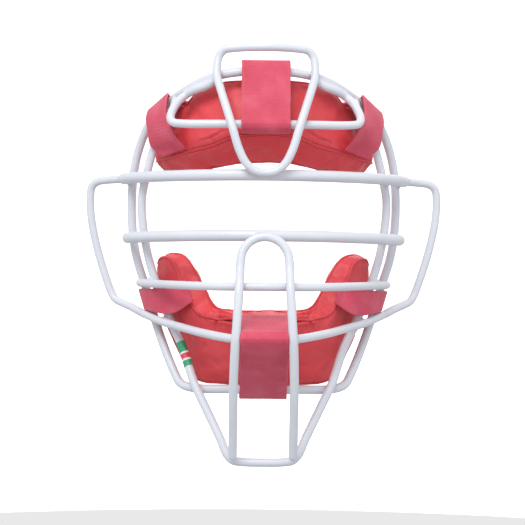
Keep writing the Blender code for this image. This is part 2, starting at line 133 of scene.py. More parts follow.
# The side straps, as (outer edge, inner edge) on the right; the centre straps, as (y, z) profiles
CROWN_STRAP_ROWS = [
    ((80, -26.5, 77), (59.5, -46.5, 82)), ((84.5, -28, 86), (65, -50, 90)),
    ((86.5, -27.5, 97), (69.5, -50.5, 98.5)), ((88, -21.5, 105.5), (72.5, -43.5, 110)),
    ((86.8, -12.5, 112.6), (71.6, -28.5, 124)), ((84.5, -4.5, 111), (69.5, -18, 122.5)),
]
CHIN_STRAP_ROWS = [
    ((61.2, -38, -14.5), (55.2, -44.5, -31.5)), ((70, -35.5, -18), (63, -42.5, -36.5)),
    ((77.5, -30.5, -19.8), (71.3, -35.2, -38.6)), ((82.6, -26.5, -20.2), (76.5, -31.5, -38)),
    ((93, -5.5, -20.6), (88, -11, -36.0)), ((92, 1.4, -20.6), (87.3, -3.2, -35.8)),
    ((87.6, 3.3, -20.8), (83.4, -0.4, -35.6)),
]
CROWN_TAB_RUN = (-21, 14, -4)
CHIN_TAB_RUN = (-17.5, 11.5, 0.4)
CROWN_CENTRE_BAND = [
    (-64.3, 90.6), (-72, 93.2), (-75.4, 95.3), (-76.7, 98.8), (-74.8, 104), (-63.4, 138.2),
    (-61.6, 142.8), (-58, 144.8), (-54.4, 143.2),
]
CROWN_CENTRE_TAB = [(-53.6, 142.1), (-49, 139.2), (-42, 138), (-24, 136)]
CHIN_CENTRE_BAND = [
    (-65.5, -38.4), (-75, -38.8), (-102, -47.4), (-106.8, -48.8), (-108.9, -52.3), (-107.4, -56),
    (-56.6, -96), (-52.5, -97.8), (-48.2, -97),
]
CHIN_CENTRE_TAB = [(-47.5, -96.7), (-42, -93.2), (-36, -92), (-22, -92)]
# where each strap comes out of its pad's seam
CROWN_CENTRE_ROOT = [(-58, 93.4), (-66, 92.8)]
CHIN_CENTRE_ROOT = [(-60, -39.0), (-65.5, -38.4)]
CROWN_SIDE_ROOT = [((74, -32, 77.5), (58, -46.5, 82.5)), ((80, -28.3, 81.2), (61.5, -48.6, 86.3))]
CHIN_SIDE_ROOT = [((57.5, -40, -12.5), (51.5, -46, -29)), ((61.2, -38, -14.5), (55.2, -44.5, -31.5))]

# folds pinched into each pad's leather: (points, depth, width)
CROWN_PINCHES = [
    ([(hand * 50, -50, 87), (hand * 40, -54, 90), (hand * 31, -58, 94.5)], 0.8, 0.9) for hand in (-1, 1)
]
CHIN_PINCHES = [
    ([(hand * 38, -50, -37), (hand * 30, -57, -39.5), (hand * 21, -62, -42.5)], 1.9, 1.2) for hand in (-1, 1)
] + [
    ([(hand * 36.5, -43, -32), (hand * 29, -51, -35), (hand * 22, -56, -38)], 1.6, 1.1) for hand in (-1, 1)
] + [([(hand * 33, -47, -34), (hand * 34, -54, -41), (hand * 37, -56, -49)], 1.2, 1.2) for hand in (-1, 1)]

# ---------- how it is drawn ----------
VOXEL_M = 0.00055
WIRE_SIDES = 24
WIRE_SPACING_MM = 1.6
WELD_REACH_MM = 1.5
WELD_BEAD = 0.80
WELD_TINT_M = 0.0042
RIPPLE, RIPPLE_PER_MM = 0.02, 0.045
LABEL_LIFT_MM = 0.42


# ---------- curves and meshes ----------

def flip_x(point):
    return (-point[0], *point[1:])


def both_halves(half):
    return [flip_x(p) for p in reversed(half[1:])] + list(half)


def catmull(waypoints, closed=False, steps=24):
    """Finely spaced points of the centripetal curve that the frame's wires follow."""
    pts = [np.array(p, float) for p in waypoints]
    if closed:
        padded = [pts[-1], *pts, pts[0], pts[1]]
    else:
        padded = [2 * pts[0] - pts[1], *pts, 2 * pts[-1] - pts[-2]]
    out = []
    share = np.linspace(0, 1, steps, endpoint=False)[:, None]
    for p0, p1, p2, p3 in zip(padded, padded[1:], padded[2:], padded[3:]):
        k = [0.0]
        for a, b in ((p0, p1), (p1, p2), (p2, p3)):
            k.append(k[-1] + math.sqrt(np.linalg.norm(b - a)))
        t = k[1] + (k[2] - k[1]) * share
        a1 = p0 * (k[1] - t) / (k[1] - k[0]) + p1 * (t - k[0]) / (k[1] - k[0])
        a2 = p1 * (k[2] - t) / (k[2] - k[1]) + p2 * (t - k[1]) / (k[2] - k[1])
        a3 = p2 * (k[3] - t) / (k[3] - k[2]) + p3 * (t - k[2]) / (k[3] - k[2])
        b1 = a1 * (k[2] - t) / (k[2] - k[0]) + a2 * (t - k[0]) / (k[2] - k[0])
        b2 = a2 * (k[3] - t) / (k[3] - k[1]) + a3 * (t - k[1]) / (k[3] - k[1])
        out.append(b1 * (k[2] - t) / (k[2] - k[1]) + b2 * (t - k[1]) / (k[2] - k[1]))
    run = np.concatenate(out)
    return run if closed else np.vstack([run, pts[-1]])


def resample(path, spacing, closed=False):
    """The path's points at an even spacing close to this one."""
    path = np.asarray(path, float)
    if closed:
        path = np.vstack([path, path[:1]])
    steps = np.linalg.norm(np.diff(path, axis=0), axis=1)
    along = np.concatenate([[0], np.cumsum(steps)])
    count = max(2, int(round(along[-1] / spacing)))
    at = np.linspace(0, along[-1], count + 1)
    out = np.stack([np.interp(at, along, path[:, i]) for i in range(path.shape[1])], 1)
    return out[:-1] if closed else out


def unit(v):
    return v / np.maximum(np.linalg.norm(v, axis=-1, keepdims=True), 1e-12)


def tangents(path, closed=False):
    if closed:
        return unit(np.roll(path, -1, axis=0) - np.roll(path, 1, axis=0))
    return unit(np.gradient(path, axis=0))


def carried_normals(path, closed=False):
    """A normal at each point that turns as little as it can along the path."""
    t = tangents(path, closed)
    first = np.cross(t[0], (0.0, 0.0, 1.0))
    if np.linalg.norm(first) < 0.1:
        first = np.cross(t[0], (0.0, 1.0, 0.0))
    normals = [unit(first)]
    for now in t[1:]:
        last = normals[-1]
        normals.append(unit(last - now * (last @ now)))
    normals = np.array(normals)
    if closed:
        end = normals[-1] - t[0] * (normals[-1] @ t[0])
        slip = math.atan2(np.cross(normals[0], unit(end)) @ t[0], normals[0] @ unit(end))
        turn = -slip * np.arange(len(path)) / len(path)
        side = np.cross(t, normals)
        normals = normals * np.cos(turn)[:, None] + side * np.sin(turn)[:, None]
    return normals


class Soup:
    """Vertices and faces gathered from several simple shapes."""

    def __init__(self):
        self.verts, self.faces, self.count = [], [], 0

    def add(self, verts, faces):
        self.verts.append(np.asarray(verts, float))
        self.faces += [tuple(i + self.count for i in f) for f in faces]
        self.count += len(verts)

    def build(self, name, material, scale=MM):
        data = bpy.data.meshes.new(name)
        data.from_pydata((np.vstack(self.verts) * scale).tolist(), [], self.faces)
        data.shade_smooth()
        data.materials.append(material)
        obj = bpy.data.objects.new(name, data)
        bpy.context.scene.collection.objects.link(obj)
        return obj


def ring_faces(first, second, count):
    return [(first + i, first + (i + 1) % count, second + (i + 1) % count, second + i) for i in range(count)]


DOME_DEGREES = (25, 50, 72)


def tube(path, radius, sides=WIRE_SIDES, closed=False, round_ends=True):
    """A round tube along the path, with domed ends where it is open, as (verts, faces)."""
    path = np.asarray(path, float)
    radius = np.broadcast_to(np.asarray(radius, float), len(path))
    t, n = tangents(path, closed), carried_normals(path, closed)
    b = np.cross(t, n)
    turn = np.linspace(0, 2 * math.pi, sides, endpoint=False)

    def ring(i):
        return np.cos(turn)[:, None] * n[i] + np.sin(turn)[:, None] * b[i]

    def dome(i, sign):
        return [
            path[i] + sign * t[i] * radius[i] * math.sin(math.radians(d))
            + radius[i] * math.cos(math.radians(d)) * ring(i)
            for d in DOME_DEGREES
        ]

    rings = [path[i] + radius[i] * ring(i) for i in range(len(path))]
    if round_ends and not closed:
        rings = dome(0, -1)[::-1] + rings + dome(-1, 1)
    faces = []
    for i in range(len(rings) - 1):
        faces += ring_faces(i * sides, (i + 1) * sides, sides)
    verts = np.vstack(rings)
    if closed:
        faces += ring_faces((len(rings) - 1) * sides, 0, sides)
        return verts, faces
    tips = (radius[0], radius[-1]) if round_ends else (0.0, 0.0)
    verts = np.vstack([verts, path[0] - t[0] * tips[0], path[-1] + t[-1] * tips[1]])
    start, end = len(verts) - 2, len(verts) - 1
    last = (len(rings) - 1) * sides
    faces += [(start, (i + 1) % sides, i) for i in range(sides)]
    faces += [(end, last + i, last + (i + 1) % sides) for i in range(sides)]
    return verts, faces


def sphere(centre, radius):
    mesh = bmesh.new()
    bmesh.ops.create_icosphere(mesh, subdivisions=2, radius=radius)
    verts = np.array([v.co for v in mesh.verts]) + centre
    faces = [tuple(v.index for v in f.verts) for f in mesh.faces]
    mesh.free()
    return verts, faces


def bake_modifiers(obj):
    """The object keeps the shape that its modifiers give it, and the modifiers go."""
    graph = bpy.context.evaluated_depsgraph_get()
    made = bpy.data.meshes.new_from_object(obj.evaluated_get(graph))
    obj.modifiers.clear()
    obj.data = made


def corners_of(mesh):
    return np.array([v.co for v in mesh.vertices])


def face_outwards(obj):
    mesh = bmesh.new()
    mesh.from_mesh(obj.data)
    bmesh.ops.recalc_face_normals(mesh, faces=mesh.faces)
    mesh.to_mesh(obj.data)
    mesh.free()


def tree_of(points):
    tree = kdtree.KDTree(len(points))
    for i, p in enumerate(points):
        tree.insert(Vector(p), i)
    tree.balance()
    return tree


def put_attribute(obj, name, values, kind="FLOAT"):
    attribute = obj.data.attributes.new(name, kind, "POINT")
    key = "vector" if kind == "FLOAT_VECTOR" else "value"
    attribute.data.foreach_set(key, np.asarray(values, np.float32).ravel())


def ride(obj, body, slot, *nodes):
    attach(obj, body)
    if nodes:
        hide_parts(*nodes)


# ---------- materials ----------

def set_inputs(made, values):
    for key, value in values.items():
        made.inputs[key].default_value = value


def new_material(name, colour, roughness):
    material = bpy.data.materials.new(name)
    material.use_nodes = True
    shader = material.node_tree.nodes["Principled BSDF"]
    set_inputs(shader, {"Base Color": (*colour, 1.0), "Roughness": roughness})
    return material, material.node_tree, shader


def node(tree, kind, values=None, **settings):
    made = tree.nodes.new(kind)
    for key, value in settings.items():
        setattr(made, key, value)
    set_inputs(made, values or {})
    return made


def join(tree, source, target):
    tree.links.new(source, target)


def math_node(tree, operation, first, second=None):
    made = node(tree, "ShaderNodeMath", operation=operation)
    for i, value in enumerate((first, second)):
        if value is None:
            continue
        if isinstance(value, (int, float)):
            made.inputs[i].default_value = value
        else:
            join(tree, value, made.inputs[i])
    return made.outputs[0]


def noise_node(tree, coords, scale, detail=3.0, roughness=0.5):
    made = node(tree, "ShaderNodeTexNoise", {"Scale": scale, "Detail": detail, "Roughness": roughness})
    join(tree, coords, made.inputs["Vector"])
    return made.outputs["Fac"]


def ramp(tree, factor, stops, interpolation="LINEAR"):
    made = node(tree, "ShaderNodeValToRGB")
    band = made.color_ramp
    band.interpolation = interpolation
    while len(band.elements) < len(stops):
        band.elements.new(0.5)
    for element, (at, colour) in zip(band.elements, stops):
        element.position = at
        element.color = (*colour, 1.0)
    join(tree, factor, made.inputs["Fac"])
    return made.outputs["Color"]


def mix_colours(tree, factor, first, second):
    made = node(tree, "ShaderNodeMix", data_type="RGBA")
    sockets = made.inputs["Factor"], made.inputs[6], made.inputs[7]
    for socket, value in zip(sockets, (factor, first, second)):
        if isinstance(value, (int, float)):
            socket.default_value = value
        elif isinstance(value, tuple):
            socket.default_value = (*value, 1.0)
        else:
            join(tree, value, socket)
    return made.outputs[2]


def map_range(tree, value, low, high):
    made = node(tree, "ShaderNodeMapRange", {"To Min": low, "To Max": high})
    join(tree, value, made.inputs["Value"])
    return made.outputs["Result"]


def bump(tree, height, distance, strength=1.0, under=None):
    made = node(tree, "ShaderNodeBump", {"Distance": distance, "Strength": strength})
    join(tree, height, made.inputs["Height"])
    if under is not None:
        join(tree, under, made.inputs["Normal"])
    return made.outputs["Normal"]


def coating_material():
    """White plastisol: a thick dip with a soft shine, faint ripples, and a greyer tone at the welds that is
    partly dirt and partly painted shade in the crevices where the wires meet.
    """
    material, tree, shader = new_material("white_plastic_dip", (0.70, 0.73, 0.80), 0.36)
    coords = node(tree, "ShaderNodeTexCoord").outputs["Object"]
    weld_dirt_and_shade = node(tree, "ShaderNodeAttribute", attribute_name="weld_dirt_and_shade").outputs["Fac"]
    cloudy = noise_node(tree, coords, 26.0, 4.0)
    tone = ramp(tree, cloudy, [(0.3, (0.69, 0.72, 0.79)), (0.7, (0.735, 0.765, 0.825))])
    # painted shade and dirt: the colour greys towards each joint of the wires
    toned = mix_colours(tree, math_node(tree, "MULTIPLY", weld_dirt_and_shade, 0.5), tone, (0.62, 0.64, 0.72))
    scuff_noise = noise_node(tree, coords, 210.0, 6.0, 0.65)
    scuff = ramp(tree, scuff_noise, [(0.64, (0, 0, 0)), (0.74, (1, 1, 1))])
    coloured = mix_colours(tree, math_node(tree, "MULTIPLY", scuff, 0.12), toned, (0.60, 0.60, 0.63))
    join(tree, coloured, shader.inputs["Base Color"])
    join(tree, map_range(tree, noise_node(tree, coords, 90.0, 5.0), 0.27, 0.43), shader.inputs["Roughness"])
    ripple = bump(tree, noise_node(tree, coords, 120.0, 2.0), 0.0006, 0.35)
    peel = bump(tree, noise_node(tree, coords, 900.0, 2.0), 0.00012, 0.35, ripple)
    join(tree, peel, shader.inputs["Normal"])
    set_inputs(shader, {
        "Subsurface Weight": 0.08, "Subsurface Radius": (0.002, 0.002, 0.002), "Subsurface Scale": 1.0,
        "Coat Weight": 0.15, "Coat Roughness": 0.25,
    })
    return material


def leather_material(name, colour, dark, pale):
    """Coated leather: a pebbled grain, fine creases, random lighter and darker patches, and painted shade
    along the seams and in the pinched folds.
    """
    material, tree, shader = new_material(name, colour, 0.45)
    coords = node(tree, "ShaderNodeTexCoord").outputs["Object"]
    seam = node(tree, "ShaderNodeAttribute", attribute_name="seam").outputs["Fac"]
    tone = ramp(tree, noise_node(tree, coords, 30.0, 5.0), [(0.28, dark), (0.5, colour), (0.75, pale)])
    # painted shade: the colour laid along the seam grooves and in the pinched folds
    shadow = tuple(c * 0.45 for c in colour)
    coloured = mix_colours(tree, math_node(tree, "MULTIPLY", seam, 0.45), tone, shadow)
    join(tree, coloured, shader.inputs["Base Color"])
    join(tree, map_range(tree, noise_node(tree, coords, 70.0, 4.0), 0.34, 0.56), shader.inputs["Roughness"])
    grain = node(tree, "ShaderNodeTexVoronoi", {"Scale": 1250.0, "Randomness": 1.0}, feature="SMOOTH_F1")
    join(tree, coords, grain.inputs["Vector"])
    pebbles = bump(tree, grain.outputs["Distance"], 0.00022, 0.45)
    creases = bump(tree, noise_node(tree, coords, 260.0, 6.0, 0.6), 0.0006, 0.30, pebbles)
    join(tree, creases, shader.inputs["Normal"])
    set_inputs(shader, {"Sheen Weight": 0.10, "Sheen Roughness": 0.4, "Sheen Tint": (1.0, 0.62, 0.60, 1.0)})
    return material


WEAVE_M, RIB_M = 0.00105, 0.0026


def webbing_material(name, colour, dark, pale):
    """Woven nylon: a ribbed basket weave that follows the strap, with painted shade in its low cells and rib
    grooves, a pink sheen and pale worn edges.
    """
    material, tree, shader = new_material(name, colour, 0.54)
    attribute = node(tree, "ShaderNodeAttribute", attribute_name="weave")
    split = node(tree, "ShaderNodeSeparateXYZ")
    join(tree, attribute.outputs["Vector"], split.inputs[0])
    across = math_node(tree, "DIVIDE", split.outputs[0], WEAVE_M)
    along = math_node(tree, "DIVIDE", split.outputs[1], WEAVE_M)
    cells = math_node(tree, "ADD", math_node(tree, "FLOOR", across), math_node(tree, "FLOOR", along))
    over = math_node(tree, "PINGPONG", cells, 1.0)
    warp = math_node(tree, "ABSOLUTE", math_node(tree, "SINE", math_node(tree, "MULTIPLY", across, math.pi)))
    weft = math_node(tree, "ABSOLUTE", math_node(tree, "SINE", math_node(tree, "MULTIPLY", along, math.pi)))
    lifted = math_node(tree, "MULTIPLY", warp, over)
    lowered = math_node(tree, "MULTIPLY", weft, math_node(tree, "SUBTRACT", 1.0, over))
    height = math_node(tree, "ADD", lifted, lowered)
    rib = math_node(tree, "SINE", math_node(tree, "MULTIPLY", split.outputs[1], 2 * math.pi / RIB_M))
    coords = node(tree, "ShaderNodeTexCoord").outputs["Object"]
    fuzz = noise_node(tree, coords, 2600.0, 2.0)
    mottled = ramp(tree, noise_node(tree, coords, 55.0, 5.0), [(0.3, dark), (0.52, colour), (0.72, pale)])
    # painted shade: the weave's low cells and the grooves between the ribs are darkened
    painted_hollow_shade = math_node(tree, "MULTIPLY", math_node(tree, "SUBTRACT", 1.0, height), 0.35)
    shaded = math_node(tree, "SUBTRACT", painted_hollow_shade, math_node(tree, "MULTIPLY", rib, 0.07))
    woven = mix_colours(tree, shaded, mottled, dark)
    worn = mix_colours(tree, math_node(tree, "MULTIPLY", split.outputs[2], 0.4), woven, pale)
    join(tree, worn, shader.inputs["Base Color"])
    ribbed = bump(tree, rib, 0.00016, 0.28)
    under = bump(tree, height, 0.00025, 0.7, ribbed)
    join(tree, bump(tree, fuzz, 0.00025, 0.35, under), shader.inputs["Normal"])
    set_inputs(shader, {
        "Sheen Weight": 0.25, "Sheen Roughness": 0.45, "Sheen Tint": (1.0, 0.45, 0.55, 1.0),
    })
    return material


def pile_material(name, colour, dark, scale):
    """Hook or loop pile: rows of small tufts, with painted shade in the gaps between them."""
    material, tree, shader = new_material(name, colour, 0.9)
    coords = node(tree, "ShaderNodeTexCoord").outputs["Object"]
    tufts = node(tree, "ShaderNodeTexVoronoi", {"Scale": scale, "Randomness": 0.55}, feature="F1")
    join(tree, coords, tufts.inputs["Vector"])
    # painted shade: darker towards the gaps between the tufts
    shade = ramp(tree, tufts.outputs["Distance"], [(0.15, colour), (0.6, dark)])
    join(tree, shade, shader.inputs["Base Color"])
    height = math_node(tree, "SUBTRACT", 1.0, tufts.outputs["Distance"])
    join(tree, bump(tree, height, 0.0006, 0.9), shader.inputs["Normal"])
    set_inputs(shader, {"Sheen Weight": 0.4, "Sheen Tint": (1.0, 0.5, 0.55, 1.0)})
    return material


def thread_material():
    """Sewing thread, with the slant of its twist."""
    material, tree, shader = new_material("red_thread", (0.62, 0.04, 0.06), 0.6)
    coords = node(tree, "ShaderNodeTexCoord").outputs["Object"]
    twist = node(tree, "ShaderNodeTexWave", {"Scale": 900.0, "Distortion": 2.0}, bands_direction="DIAGONAL")
    join(tree, coords, twist.inputs["Vector"])
    tone = ramp(tree, twist.outputs["Fac"], [(0.2, (0.50, 0.03, 0.045)), (0.8, (0.74, 0.07, 0.09))])
    join(tree, tone, shader.inputs["Base Color"])
    join(tree, bump(tree, twist.outputs["Fac"], 0.0001, 0.6), shader.inputs["Normal"])
    return material


def label_material():
    """A printed wrap: green, white and red bands along the wire, a little scuffed."""
    material, tree, shader = new_material("label_print", (0.05, 0.42, 0.20), 0.38)
    along = node(tree, "ShaderNodeAttribute", attribute_name="along").outputs["Fac"]
    green, white, red = (0.03, 0.36, 0.17), (0.82, 0.83, 0.82), (0.72, 0.06, 0.09)
    stops = [(0.0, green), (0.42, white), (0.50, red), (0.70, white), (0.78, green)]
    bands = ramp(tree, along, stops, "CONSTANT")
    coords = node(tree, "ShaderNodeTexCoord").outputs["Object"]
    scuff = ramp(tree, noise_node(tree, coords, 420.0, 6.0, 0.7), [(0.58, (0, 0, 0)), (0.68, (1, 1, 1))])
    scuffed = mix_colours(tree, math_node(tree, "MULTIPLY", scuff, 0.35), bands, (0.75, 0.76, 0.76))
    join(tree, scuffed, shader.inputs["Base Color"])
    join(tree, bump(tree, noise_node(tree, coords, 500.0, 3.0), 0.0001, 0.3), shader.inputs["Normal"])
    return material


RED, RED_DARK, RED_PALE = (0.80, 0.070, 0.086), (0.75, 0.058, 0.072), (0.84, 0.088, 0.108)
WEB, WEB_DARK, WEB_PALE = (0.73, 0.075, 0.138), (0.65, 0.056, 0.108), (0.80, 0.125, 0.20)
coating = coating_material()
leather = leather_material("red_leather", RED, RED_DARK, RED_PALE)
welt = leather_material("red_leather_welt", (0.75, 0.062, 0.078), (0.68, 0.050, 0.064), RED)
webbing = webbing_material("red_webbing", WEB, WEB_DARK, WEB_PALE)
hook_pile = pile_material("hook_pile", (0.42, 0.025, 0.05), (0.18, 0.01, 0.02), 900.0)
loop_pile = pile_material("loop_pile", (0.58, 0.05, 0.09), (0.34, 0.02, 0.04), 1400.0)
thread = thread_material()
label_print = label_material()


# ---------- the cage ----------

def nose_loop_waypoints():
    crown_y, crown_z = NOSE_ARCH_TOP
    leg_top_y = NOSE_LEG[0][1] + 2.2
    arch = []
    for angle in (0, 22.5, 45, 67.5):
        side = math.sin(math.radians(angle))
        down = 1 - math.cos(math.radians(angle))
        depth = crown_y + (leg_top_y - crown_y) * down
        arch.append((NOSE_ARCH_RADIUS * side, depth, crown_z - NOSE_ARCH_RADIUS * down))
    return both_halves(arch + [(NOSE_ARCH_RADIUS, leg_top_y, 1)] + NOSE_LEG)


def closed_loop(half):
    return half + [flip_x(p) for p in reversed(half[1:-1])]


WIRES = {
    "face_ring": (closed_loop(RING_HALF), RING_R, True),
    "side_and_throat_frame": (both_halves(list(reversed(SIDE_FRAME_HALF))), FRAME_R, False),
    "brow_bar": (both_halves(BROW_HALF), HEAVY_R, False),
    "eye_bar": (both_halves(EYE_HALF), HEAVY_R, False),
    "cheek_bar": (both_halves(CHEEK_HALF), LIGHT_R, False),
    "chin_bar": (both_halves(CHIN_HALF), LIGHT_R, False),
    "nose_loop": (nose_loop_waypoints(), FRAME_R, False),
    "crown_loop": (closed_loop(CROWN_LOOP_HALF), LIGHT_R, True),
    "forehead_bar": (both_halves(FOREHEAD_HALF), LIGHT_R, False),
    "ear_guard_right": (EAR_PATH, EAR_R, False),
    "ear_guard_left": ([flip_x(p) for p in EAR_PATH], EAR_R, False),
}


def wire_paths():
    return {
        name: (resample(catmull(points, closed), WIRE_SPACING_MM, closed), radius, closed)
        for name, (points, radius, closed) in WIRES.items()
    }


def weld_points(paths):
    """Where two wires come within reach of each other, and how thick the joint is there."""
    found = []
    names = list(paths)
    for i, a in enumerate(names):
        for b in names[i + 1:]:
            first, r1, _ = paths[a]
            second, r2, _ = paths[b]
            gaps = np.linalg.norm(first[:, None] - second[None], axis=2)
            nearest = gaps.argmin(1)
            for k, j in enumerate(nearest):
                if gaps[k, j] < r1 + r2 + WELD_REACH_MM:
                    share = r1 / (r1 + r2)
                    found.append((first[k] + (second[j] - first[k]) * share, WELD_BEAD * min(r1, r2)))
    return found


def make_cage():
    paths = wire_paths()
    welds = weld_points(paths)
    soup = Soup()
    for name, (path, radius, closed) in paths.items():
        ripple = np.array([noise.noise(Vector(p * RIPPLE_PER_MM)) for p in path])
        coat = COAT_MM.get(name, COAT_ELSEWHERE_MM)
        soup.add(*tube(path, (radius + coat) * (1 + RIPPLE * ripple), closed=closed))
    for centre, radius in welds:
        soup.add(*sphere(centre, radius))
    cage = soup.build("wire_cage", coating)
    remesh = cage.modifiers.new("coat", "REMESH")
    remesh.mode = "VOXEL"
    remesh.voxel_size = VOXEL_M
    relax = cage.modifiers.new("relax", "SMOOTH")
    relax.factor = 0.5
    relax.iterations = 9
    bake_modifiers(cage)
    cage.data.shade_smooth()
    # painted shade and dirt: how strongly the coating greys near each joint of the wires
    tree = tree_of([centre * MM for centre, _ in welds])
    near = np.array([tree.find(v.co)[2] for v in cage.data.vertices])
    put_attribute(cage, "weld_dirt_and_shade", np.clip(1.3 - near / WELD_TINT_M, 0, 1))
    ride(cage, ROOT, "white_coating", *WIRES)
    return paths


def make_label(paths):
    path = paths["side_and_throat_frame"][0]
    high, low = LABEL_SPAN
    held = path[(path[:, 0] < 0) & (path[:, 2] < high) & (path[:, 2] > low)]
    held = resample(held, 0.6)
    if held[0, 2] < held[-1, 2]:
        held = held[::-1]
    share = np.linspace(0, 1, len(held))
    radius = FRAME_R + LABEL_LIFT_MM + 0.05 * np.sin(share * 40)
    soup = Soup()
    soup.add(*tube(held, radius, sides=40, round_ends=False))
    label = soup.build("label_wrap", label_print)
    points = corners_of(label.data) / MM
    nearest = np.linalg.norm(points[:, None] - held[None], axis=2).argmin(1)
    put_attribute(label, "along", share[nearest])
    ride(label, ROOT, "green_label", "label_sleeve")


# ---------- the pads ----------

WIDEST_DEGREES, SAMPLES = 75, 601
EASE_REACH, EASE_SIGMA = 16, 6.0
PANEL_STEPS = (16, 10, 18, 9)
PAD_STEP_MM = 2.3
PAD_RADIUS_MM, END_RADIUS_MM = 95, 92
CHIN_RAKE = 0.8
END_ROUND_MM = 9.0
PAD_WOBBLE_MM = 0.3
SEAM_STEP_MM = 0.6
SEAM_DEPTH_MM, SEAM_WIDTH_MM, SEAM_SHADE_MM = 0.75, 1.2, 1.1
RIDGE_SEAM = 1


def table_curve(table, angles):
    """The table's values at these angles, eased so that no corner shows."""
    at, value = np.array(table, float).T
    fine = np.linspace(-WIDEST_DEGREES, WIDEST_DEGREES, SAMPLES)
    raw = np.interp(np.abs(fine), at, value)
    spread = np.exp(-0.5 * (np.arange(-EASE_REACH, EASE_REACH + 1) / EASE_SIGMA) ** 2)
    eased = np.convolve(np.pad(raw, EASE_REACH, mode="edge"), spread / spread.sum(), mode="valid")
    return np.interp(angles, fine, eased)


def head_points(angles, radii, heights):
    turn = np.radians(angles)
    return np.stack([radii * np.sin(turn), HEAD_Y - radii * np.cos(turn), heights], -1)


def pad_grid(pad, upright):
    """Rows of points round the pad's outline, one row for each angle, and the seams' places in a row."""
    half = pad["half"]
    columns = int(round(math.radians(2 * half) * PAD_RADIUS_MM / PAD_STEP_MM))
    angles = np.linspace(-half, half, columns + 1)
    value = {key: table_curve(table, angles) for key, table in pad.items() if key != "half"}
    if upright:
        corners = [
            (value["r_top"], value["top"]),
            ((value["r_top"] + value["r_ridge"]) / 2 + 2, (value["top"] + value["ridge"]) / 2),
            (value["r_ridge"], value["ridge"]),
            (value["r_bottom"], value["bottom"]),
            (value["r_back"], value["bottom"] + 4),
            (value["r_back"], (value["top"] + value["ridge"]) / 2),
            (value["r_back"] + 3, value["top"] - 3),
        ]
    else:
        straight_back = np.degrees(np.arcsin(np.sin(np.radians(angles)) * value["r_back"] / value["r_top"]))
        lean = np.minimum(0, table_curve(pad["top"], straight_back) - value["top"]) * CHIN_RAKE
        corners = [
            (value["r_bottom"], value["bottom"]),
            ((value["r_bottom"] + value["r_ridge"]) / 2 + 2, (value["bottom"] + value["ridge"]) / 2),
            (value["r_ridge"], value["ridge"]),
            (value["r_top"], value["top"]),
            (value["r_back"], value["top"] + lean - 3),
            (value["r_back"], (value["bottom"] + value["ridge"]) / 2),
            (value["r_back"] + 2, value["bottom"] + 2),
        ]
    spans = [(0, 1, 2), (2, 3), (3, 4, 5, 6), (6, 0)]
    pieces, seams, total = [], [], 0
    for span, steps in zip(spans, PANEL_STEPS):
        knots = np.stack([np.stack(corners[i], -1) for i in span])
        at = np.linspace(0, len(span) - 1, steps, endpoint=False)
        low = np.clip(at.astype(int), 0, len(span) - 2)
        share = (at - low)[:, None, None]
        run = knots[low] * (1 - share) + knots[low + 1] * share
        if len(span) == 3:
            share = (at / 2)[:, None, None]
            first, middle, last = knots
            bend = middle - (first + last) / 2
            run = first * (1 - share) + last * share + bend * 4 * share * (1 - share)
        pieces.append(run)
        seams.append(total)
        total += steps
    outline = np.concatenate(pieces).transpose(1, 0, 2)
    arc = np.radians(half - np.abs(angles)) * END_RADIUS_MM
    shrink = np.sqrt(np.clip(1 - (1 - np.clip(arc / END_ROUND_MM, 0, 1)) ** 2, 0.05, 1))
    centre = outline.mean(1, keepdims=True)
    outline = centre + (outline - centre) * shrink[:, None, None]
    grid = head_points(np.repeat(angles[:, None], total, 1), outline[..., 0], outline[..., 1])
    return grid, seams


def grid_mesh(name, grid, material):
    rows, count, _ = grid.shape
    soup = Soup()
    faces = []
    for i in range(rows - 1):
        faces += ring_faces(i * count, (i + 1) * count, count)
    verts = grid.reshape(-1, 3)
    verts = np.vstack([verts, grid[0].mean(0), grid[-1].mean(0)])
    start, end, last = len(verts) - 2, len(verts) - 1, (rows - 1) * count
    faces += [(start, (i + 1) % count, i) for i in range(count)]
    faces += [(end, last + i, last + (i + 1) % count) for i in range(count)]
    soup.add(verts, faces)
    obj = soup.build(name, material)
    face_outwards(obj)
    return obj


def swell(obj, pinned, pressure, spare, frames, cap):
    """Stuffs the pad: its panels fill between their seams, with a little spare leather that puckers."""
    start = corners_of(obj.data)
    group = obj.vertex_groups.new(name="seams")
    group.add([int(i) for i in pinned], 1.0, "REPLACE")
    cloth = obj.modifiers.new("stuffing", "CLOTH")
    settings = cloth.settings
    settings.quality = 6
    settings.mass = 0.25
    settings.tension_stiffness = 22
    settings.compression_stiffness = 14
    settings.shear_stiffness = 8
    settings.bending_stiffness = 0.35
    settings.use_pressure = True
    settings.uniform_pressure_force = pressure
    settings.vertex_group_mass = "seams"
    settings.shrink_min = -spare
    settings.effector_weights.gravity = 0
    cloth.collision_settings.use_collision = False
    scene = bpy.context.scene
    for at in range(1, frames + 1):
        scene.frame_set(at)
    graph = bpy.context.evaluated_depsgraph_get()
    moved = bpy.data.meshes.new_from_object(obj.evaluated_get(graph))
    end = corners_of(moved)
    obj.modifiers.clear()
    obj.vertex_groups.clear()
    bpy.data.meshes.remove(moved)
    scene.frame_set(1)
    shift = end - start
    far = np.linalg.norm(shift, axis=1, keepdims=True)
    shift *= cap * np.tanh(far / cap) / np.maximum(far, 1e-9)
    final = start + shift
    obj.data.vertices.foreach_set("co", final.ravel())
    obj.data.update()
    return final


